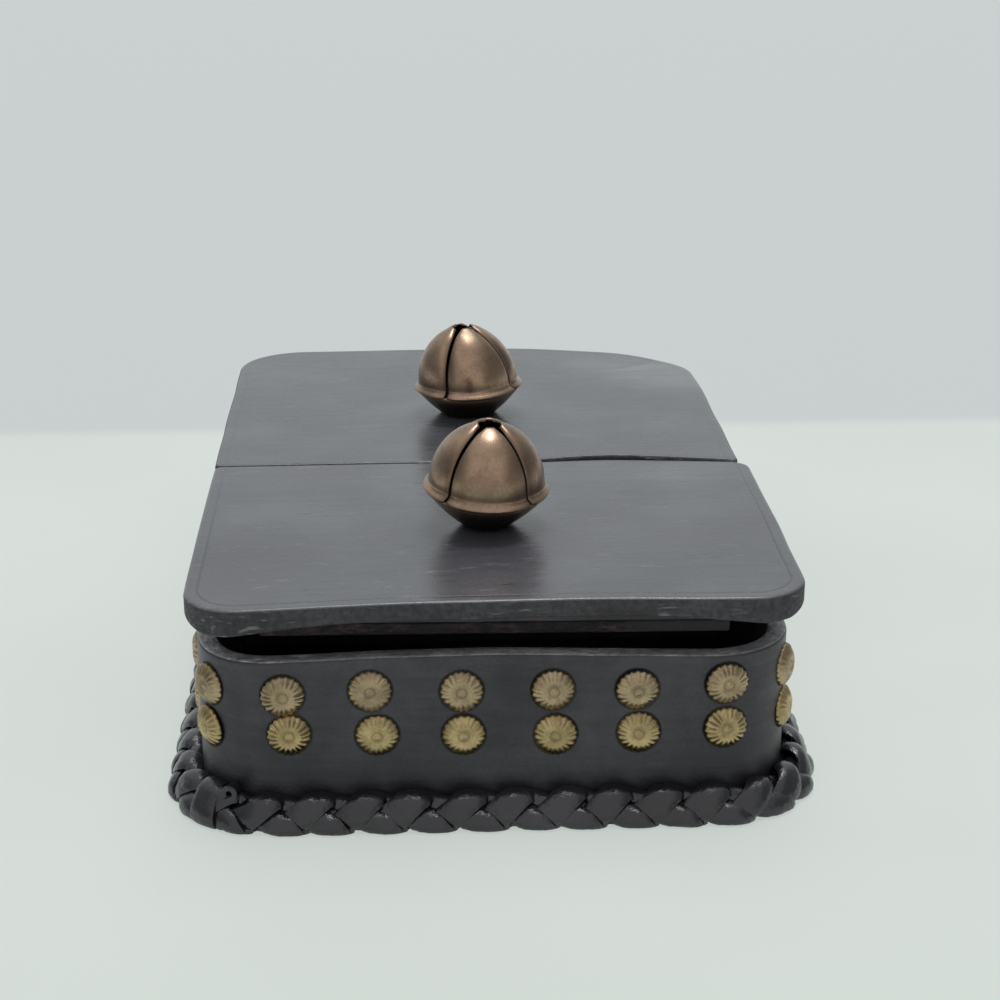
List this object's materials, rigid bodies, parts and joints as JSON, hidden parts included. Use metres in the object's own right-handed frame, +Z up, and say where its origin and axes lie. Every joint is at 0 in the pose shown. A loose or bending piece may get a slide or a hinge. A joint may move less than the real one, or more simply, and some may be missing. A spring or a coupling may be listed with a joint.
{
  "type": "playing card box",
  "caption": "Leather card box with card pockets, lift-off lids with slit bell knobs, a studded wall and a braided lacing round the base.",
  "frame": {"origin": "centre of the underside of the base", "axes": "+X to the right, +Y from the front to the rear, +Z up through the lids"},
  "size_m": [0.1188, 0.1722, 0.0631],
  "materials": {
    "leather_lid": "black vegetable tanned leather, satin, burnished edges",
    "leather_wall": "black leather, faint horizontal grain",
    "leather_base": "black sole leather, matt",
    "leather_divider": "black leather, matt",
    "leather_insert": "black leather with a raw dark brown cut edge",
    "leather_lace": "glossy black lace",
    "brass_stud": "stamped brass, lightly aged",
    "antique_copper": "antique copper plate, satin, rubbed on the high spots",
    "steel_pin": "plain steel wire"
  },
  "bodies": {
    "box": {"base_plate": "leather_base", "wall_band": "leather_wall", "divider": "leather_divider", "braided_edge": "leather_lace", "front_studs_lower": "brass_stud", "front_studs_upper": "brass_stud", "rear_studs_lower": "brass_stud", "rear_studs_upper": "brass_stud", "left_studs_lower": "brass_stud", "left_studs_upper": "brass_stud", "right_studs_lower": "brass_stud", "right_studs_upper": "brass_stud"},
    "front_lid": {"front_lid_panel": "leather_lid", "front_insert_upper": "leather_insert", "front_insert_lower": "leather_insert", "front_bell_crown": "antique_copper", "front_bell_bowl": "antique_copper", "front_bell_shank": "antique_copper", "front_cross_pin": "steel_pin"},
    "rear_lid": {"rear_lid_panel": "leather_lid", "rear_insert_upper": "leather_insert", "rear_insert_lower": "leather_insert", "rear_bell_crown": "antique_copper", "rear_bell_bowl": "antique_copper", "rear_bell_shank": "antique_copper", "rear_cross_pin": "steel_pin"},
    "front_pellet": {"front_bell_pellet": "steel_pin"},
    "rear_pellet": {"rear_bell_pellet": "steel_pin"}
  },
  "joints": [
    {"name": "front_lid_lift", "type": "slide", "parent": "box", "child": "front_lid", "axis": [0, 0, 1], "range_m": [0, 0.06]},
    {"name": "rear_lid_lift", "type": "slide", "parent": "box", "child": "rear_lid", "axis": [0, 0, 1], "range_m": [0, 0.06]},
    {"name": "front_pellet_rattle", "type": "slide", "parent": "front_lid", "child": "front_pellet", "axis": [0, 0, 1], "range_m": [0, 0.012]},
    {"name": "rear_pellet_rattle", "type": "slide", "parent": "rear_lid", "child": "rear_pellet", "axis": [0, 0, 1], "range_m": [0, 0.012]}
  ]
}
